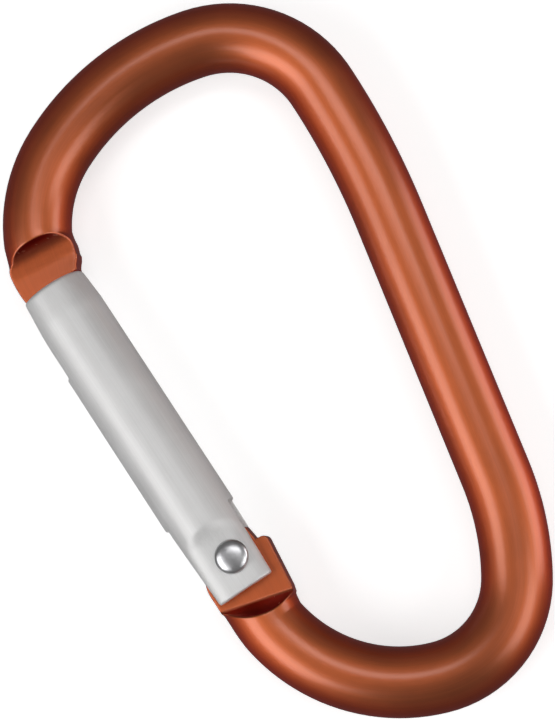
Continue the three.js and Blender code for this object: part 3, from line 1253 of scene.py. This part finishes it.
    def build(self) -> bpy.types.Object:
        """Makes the body.

        Returns:
            The piece.
        """
        piece = link(ring_mesh("body", *self.sections()))
        profile = [(self.hole_radius, -THROUGH), (self.hole_radius, THROUGH)]
        hole = pin_mesh("hole", profile, HOLE_SIDES, self.hinge_offset)
        cut(piece, [hole])
        return self.hand_over(piece, "body", ANODISED, BodyName.FRAME, SlotName.BODY)


@dataclass
class GateTube(Maker):
    """The gate: a bored tube with a slot at each end and two ears pressed flat."""

    radius: float = 3.95
    tip_radius: float = 3.7
    nose_end: float = 34.8
    hinge_end: float = -3.55
    taper: float = 3.6
    tip_round: float = 0.4
    end_round: float = 0.15
    bore_radius: float = 2.2
    bore_end: float = 23.2
    slot_height: float = 1.65
    hinge_slot_outer: float = 6.1
    hinge_slot_inner: float = 5.3
    nose_slot_start: float = 25.5
    nose_floor: float = 2.5
    slot_corner: float = 1.2
    ear_face: float = 3.3
    ear_flat_end: float = 1.84
    ear_flat_round: float = 2.6
    ear_outer: float = 3.1
    ear_inner: float = 3.3
    lip_start: float = 29.6
    lip_edge: float = 3.2
    slot_edge: float = 3.589
    hole_x: float = 0.8
    hole_radius: float = 1.24
    flat_blend: float = 1.1
    edge_blend: float = 0.16
    sides: int = 180
    row_zones: tuple[float, ...] = (0.4, 7.0, 0.7)  # ends of the close rows, and the tip's length
    grain: float = 0.12
    passes: int = 2
    beyond: float = 12.0  # how far the slots' cutters reach past the gate
    slot_lead: float = 0.8  # how far the hinge slot's floor leans past its two marks

    def blank(self) -> bpy.types.Mesh:
        """The outside of the gate, before its slots and bore are cut.

        Returns:
            The closed mesh.
        """
        cap, ears, tip = self.row_zones
        rows = [
            np.linspace(self.hinge_end, self.hinge_end + cap, 7),
            np.arange(self.hinge_end + cap, ears, 0.12),
            np.arange(ears, self.lip_start, 0.8),
            np.arange(self.lip_start, self.nose_end - tip, 0.25),
            np.linspace(self.nose_end - tip, self.nose_end, 14),
        ]
        y = np.unique(np.concatenate(rows))
        start = self.nose_end - self.taper
        slope = (self.radius - self.tip_radius) / self.taper
        radius = self.radius - slope * np.clip(y - start, 0, None)
        near = np.clip(y - (self.nose_end - self.tip_round), 0, self.tip_round)
        radius -= self.tip_round - np.sqrt(self.tip_round**2 - near**2)
        near = np.clip(self.hinge_end + self.end_round - y, 0, self.end_round)
        end_inset = self.end_round - np.sqrt(self.end_round**2 - near**2)
        radius -= end_inset

        angle = -(np.arange(self.sides) + 0.5) * 2 * math.pi / self.sides
        x = radius[:, None] * np.cos(angle)
        z = radius[:, None] * np.sin(angle)
        climb = np.clip(y - self.ear_flat_end, 0, self.ear_flat_round)
        rise = self.ear_flat_round - np.sqrt(self.ear_flat_round**2 - climb**2)
        roof = self.ear_face + rise - end_inset
        z = np.sign(z) * soft_min(np.abs(z), roof[:, None] + 0 * z, self.flat_blend)

        outer = np.interp(y, [self.hinge_end, self.hinge_slot_outer], [self.ear_outer, self.slot_edge])
        outer = np.where(y > self.hinge_slot_outer, UNCUT, outer) - end_inset
        lips = np.interp(y, [self.lip_start, self.nose_end], [self.slot_edge, self.lip_edge])
        outer = np.where(y > self.lip_start, lips, outer)
        inner = np.interp(y, [self.hinge_end, self.hinge_slot_inner], [self.ear_inner, self.slot_edge])
        inner = np.where(y > self.hinge_slot_inner, UNCUT, inner) - end_inset
        wall = np.where(x > 0, inner[:, None], outer[:, None])
        x = np.sign(x) * soft_min(np.abs(x), wall, self.edge_blend)
        return ring_mesh("gate", np.stack([x, y[:, None] + 0 * x, z], axis=2))

    def cutters(self) -> list[bpy.types.Mesh]:
        """The bore, the two slots and the rivet's hole.

        Returns:
            Closed meshes.
        """
        far = self.beyond
        bore = turned_mesh(
            "bore",
            [
                (self.bore_radius, self.hinge_end - far / 2),
                (self.bore_radius, self.bore_end),
                (TINY, self.bore_end + self.bore_radius / 2),
            ],
            BORE_SIDES,
        )
        hinge_slot = plate_mesh(
            "hinge_slot",
            [
                (-far, self.hinge_end - far),
                (far, self.hinge_end - far),
                (far, self.hinge_slot_inner - self.slot_lead),
                (-far, self.hinge_slot_outer + self.slot_lead),
            ],
            self.slot_height,
        )
        corner = self.slot_corner
        outline = [(-far, self.nose_slot_start)]
        outline += arc_points(
            (self.nose_floor - corner, self.nose_slot_start + corner), corner, -90, 0, 10
        )
        outline += [
            (self.nose_floor, self.nose_end + far),
            (-far, self.nose_end + far),
        ]
        nose_slot = plate_mesh("nose_slot", outline, self.slot_height)
        profile = [(self.hole_radius, -THROUGH), (self.hole_radius, THROUGH)]
        hole = pin_mesh("ear_hole", profile, HOLE_SIDES, self.hole_x)
        return [bore, hinge_slot, nose_slot, hole]

    def build(self) -> bpy.types.Object:
        """Makes the gate.

        Returns:
            The piece.
        """
        piece = link(self.blank())
        cut(piece, self.cutters())
        round_over(piece, self.grain, self.passes)
        return self.hand_over(piece, "gate", SATIN, BodyName.GATE, SlotName.GATE)


@dataclass
class HingeRivet(Maker):
    """The set rivet: a plain shank and a domed head on each ear."""

    shank_radius: float = 1.2
    head_radius: float = 1.8
    head_height: float = 0.8
    seat: float = 3.34
    offset: float = 0.8
    edge_round: float = 0.12
    fullness: float = 0.8  # below 1 the dome is flatter on top and steeper at its edge
    dome_span: tuple[float, float] = (4.0, 89.3)  # degrees from the dome's edge to its middle
    dome_steps: int = 26
    sides: int = 96

    def build(self) -> bpy.types.Object:
        """Makes the rivet.

        Returns:
            The piece.
        """
        edge_radius, edge_height = self.head_radius - self.edge_round, self.seat + self.edge_round
        rise = self.head_height - self.edge_round
        half = [(self.shank_radius, self.seat), (edge_radius, self.seat)]
        half += arc_points((edge_radius, edge_height), self.edge_round, -70, 0, 4)
        half += [
            (self.head_radius * math.cos(a) ** self.fullness, edge_height + rise * math.sin(a))
            for a in np.radians(np.linspace(*self.dome_span, self.dome_steps))
        ]
        profile = [(r, -y) for r, y in reversed(half)] + half
        mesh = pin_mesh("hinge_rivet", profile, self.sides, self.offset)
        piece = link(mesh)
        return self.hand_over(piece, "hinge_rivet", POLISHED, BodyName.GATE, SlotName.RIVET)


@dataclass
class SpringAndPlunger(Maker):
    """What closes the gate: a plunger on the hinge tongue's cam, and the spring behind it."""

    face: float = 2.54
    head_radius: float = 2.14
    head_length: float = 2.6
    stem_radius: float = 1.1
    stem_length: float = 4.0
    chamfer: float = 0.25
    wire_radius: float = 0.225
    coil_radius: float = 1.915
    coil_start: float = 5.18
    coil_end: float = 23.16
    turns: float = 9.0
    gap: float = 0.04
    keep: float = 0.962  # the share of its length that the spring keeps with the gate open
    edge_break: float = 0.08
    sides: int = 72
    wire_sides: int = 14
    steps_per_turn: int = 40

    def build_plunger(self) -> bpy.types.Object:
        """Makes the plunger.

        Returns:
            The piece.
        """
        head_end = self.face + self.head_length
        stem_end = head_end + self.stem_length
        c, b = self.chamfer, self.edge_break
        profile = [
            (TINY, self.face),
            (self.head_radius - c, self.face),
            (self.head_radius - 0.3 * c, self.face + 0.3 * c),
            (self.head_radius, self.face + c),
            (self.head_radius, head_end - b),
            (self.head_radius - b, head_end),
            (self.stem_radius + b, head_end),
            (self.stem_radius, head_end + b),
            (self.stem_radius, stem_end - c),
            (self.stem_radius - c, stem_end),
            (TINY, stem_end),
        ]
        piece = link(turned_mesh("plunger", profile, self.sides))
        return self.hand_over(piece, "plunger", TURNED, BodyName.PLUNGER, SlotName.PLUNGER)

    def build_spring(self) -> bpy.types.Object:
        """Makes the spring, with a close-wound turn at each end.

        Returns:
            The piece.
        """
        turn = np.linspace(0, self.turns, int(self.turns * self.steps_per_turn) + 1)
        pitch = 2 * self.wire_radius + self.gap
        start, end = self.coil_start + self.wire_radius, self.coil_end - self.wire_radius
        y = np.interp(
            turn, [0, 1, self.turns - 1, self.turns], [start, start + pitch, end - pitch, end]
        )
        angle = 2 * math.pi * turn
        centre = np.stack([self.coil_radius * np.cos(angle), y, self.coil_radius * np.sin(angle)], 1)
        out = np.stack([np.cos(angle), 0 * angle, np.sin(angle)], 1)
        way = np.gradient(centre, axis=0)
        way /= np.linalg.norm(way, axis=1)[:, None]
        up = np.cross(way, out)
        around = np.arange(self.wire_sides) * 2 * math.pi / self.wire_sides
        rings = centre[:, None, :] + self.wire_radius * (
            np.cos(around)[None, :, None] * out[:, None, :]
            + np.sin(around)[None, :, None] * up[:, None, :]
        )
        piece = link(ring_mesh("gate_spring", rings))
        made = self.hand_over(piece, "gate_spring", WIRE, BodyName.GATE, SlotName.SPRING)
        anchor = self.design.point(0.0, self.coil_end, 0.0)
        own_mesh(made)
        return made


# ------------------------------------------------------------------------------ the studio


@dataclass(frozen=True)
class Softbox:
    """A soft light: its direction as seen by the camera, its size and its strength."""

    name: str
    bearing: float  # degrees in the camera's picture, from right, counter-clockwise
    lean: float  # degrees away from the camera's own direction
    distance: float
    width: float  # across the bearing, in metres
    depth: float  # along the bearing, in metres
    power: float


@dataclass
class Studio:
    """The camera, the floor and the lights."""

    azimuth: float = -19.646
    elevation: float = 81.132
    roll: float = -33.591  # degrees that the gate's axis leans from upright in the picture
    distance: float = 260.5 * MM
    lens: float = 123.493
    sensor: float = 36.0
    near: float = 0.01
    aim: tuple[float, float] = (-1.916 * MM, 1.525 * MM)
    floor_gap: float = 0.05 * MM
    floor_size: float = 3.0
    floor_tone: float = 0.92
    floor_glow: float = 0.62
    sky: float = 0.11
    underside: float = 0.08
    sky_colour: Colour = (1.0, 0.985, 0.97, 1.0)
    horizon: tuple[float, float] = (-0.1, 0.15)  # heights over which the sky takes over
    boxes: tuple[Softbox, ...] = (
        Softbox("left_box", 208.0, 52.0, 0.45, 0.40, 0.26, 0.78),
        Softbox("right_low_box", -18.0, 46.0, 0.45, 0.26, 0.24, 0.36),
        Softbox("right_high_box", 18.0, 76.0, 0.45, 0.30, 0.28, 0.5),
        Softbox("top_box", 98.0, 24.0, 0.55, 0.34, 0.13, 0.36),
        Softbox("back_fill", 30.0, 10.0, 0.6, 0.30, 0.24, 0.07),
    )

    def axes(self) -> tuple[Vector, Vector, Vector]:
        """The camera's right, up and back directions.

        Returns:
            Three unit vectors of the row frame.
        """
        a, e = math.radians(self.azimuth), math.radians(self.elevation)
        back = Vector((math.sin(-a) * math.cos(e), -math.cos(a) * math.cos(e), math.sin(e)))
        flat = Vector((0, 1, 0))
        flat = (flat - back * flat.dot(back)).normalized()
        up = Matrix.Rotation(math.radians(self.roll), 3, back) @ flat
        return up.cross(back).normalized(), up, back

    def centre(self) -> Vector:
        """Where the camera looks.

        Returns:
            A point of the object, in the row frame.
        """
        low, high = CAD_BOX
        middle = (Vector(low) + Vector(high)) / 2
        return middle + Vector((self.aim[0], self.aim[1], 0))

    def turn(self, right: Vector, up: Vector, back: Vector) -> Matrix:
        """The rotation whose columns are these directions."""
        return Matrix((right, up, back)).transposed().to_4x4()

    def make_camera(self) -> None:
        """Makes the camera."""
        right, up, back = self.axes()
        data = bpy.data.cameras.new("camera")
        data.lens = self.lens
        data.sensor_width = self.sensor
        data.clip_start = self.near
        camera = bpy.data.objects.new("camera", data)
        place = Matrix.Translation(self.centre() + back * self.distance)
        camera.matrix_world = place @ self.turn(right, up, back)
        bpy.context.scene.collection.objects.link(camera)
        bpy.context.scene.camera = camera

    def make_light(self, box: Softbox) -> None:
        """Makes one soft light.

        Args:
            box: its description.
        """
        right, up, back = self.axes()
        angle, lean = math.radians(box.bearing), math.radians(box.lean)
        out = right * math.cos(angle) + up * math.sin(angle)
        back_way = (out * math.sin(lean) + back * math.cos(lean)).normalized()
        depth_way = (out - back_way * out.dot(back_way)).normalized()
        width_way = depth_way.cross(back_way)
        data = bpy.data.lights.new(box.name, "AREA")
        data.shape = "RECTANGLE"
        data.size = box.width
        data.size_y = box.depth
        data.energy = box.power
        light = bpy.data.objects.new(box.name, data)
        place = Matrix.Translation(self.centre() + back_way * box.distance)
        light.matrix_world = place @ self.turn(width_way, depth_way, back_way)
        bpy.context.scene.collection.objects.link(light)

    def make_floor(self) -> None:
        """Makes the pale floor, which runs on as far as any view reaches."""
        low, _ = CAD_BOX
        half = self.floor_size / 2
        corners = [(-half, -half, 0), (half, -half, 0), (half, half, 0), (-half, half, 0)]
        mesh = bpy.data.meshes.new("floor")
        mesh.from_pydata(corners, [], [(0, 1, 2, 3)])
        floor = link(mesh)
        floor.location = (0, 0, low[2] - self.floor_gap)
        floor.visible_glossy = False
        material = bpy.data.materials.new("floor_paper")
        material.use_nodes = True
        tree = Tree(material.node_tree)
        shader = material.node_tree.nodes["Principled BSDF"]
        shader.inputs["Base Color"].default_value = (*[self.floor_tone] * 3, 1.0)
        shader.inputs["Roughness"].default_value = 0.95
        shader.inputs["Specular IOR Level"].default_value = 0.0
        shader.inputs["Emission Color"].default_value = (1.0, 1.0, 1.0, 1.0)
        path = tree.add("LightPath")
        glow = tree.math("MULTIPLY", path.outputs["Is Camera Ray"], self.floor_glow)
        tree.feed(shader.inputs["Emission Strength"], glow)
        mesh.materials.append(material)

    def make_sky(self) -> None:
        """Makes the dim, even light of the room."""
        world = bpy.data.worlds.new("room")
        world.use_nodes = True
        tree = Tree(world.node_tree)
        background = world.node_tree.nodes["Background"]
        background.inputs["Color"].default_value = self.sky_colour
        coordinates = tree.add("TexCoord")
        parts = tree.add("SeparateXYZ")
        tree.feed(parts.inputs[0], coordinates.outputs["Generated"])
        strength = tree.spread(parts.outputs[2], *self.horizon, self.underside, self.sky)
        tree.feed(background.inputs["Strength"], strength)
        bpy.context.scene.world = world

    def build(self) -> None:
        """Makes everything that isn't part of the object."""
        self.make_camera()
        for box in self.boxes:
            self.make_light(box)
        self.make_floor()
        self.make_sky()
        bpy.context.scene.view_settings.view_transform = "Standard"


def main() -> None:
    """Builds the carabiner and the studio round it."""
    logging.basicConfig(level=logging.INFO)
    design = DesignFrame.from_cad()
    library = ShaderLibrary()
    RodBody(design, library).build()
    GateTube(design, library).build()
    HingeRivet(design, library).build()
    inner = SpringAndPlunger(design, library)
    inner.build_plunger()
    inner.build_spring()
    Studio().build()


if __name__ == "__main__":
    main()
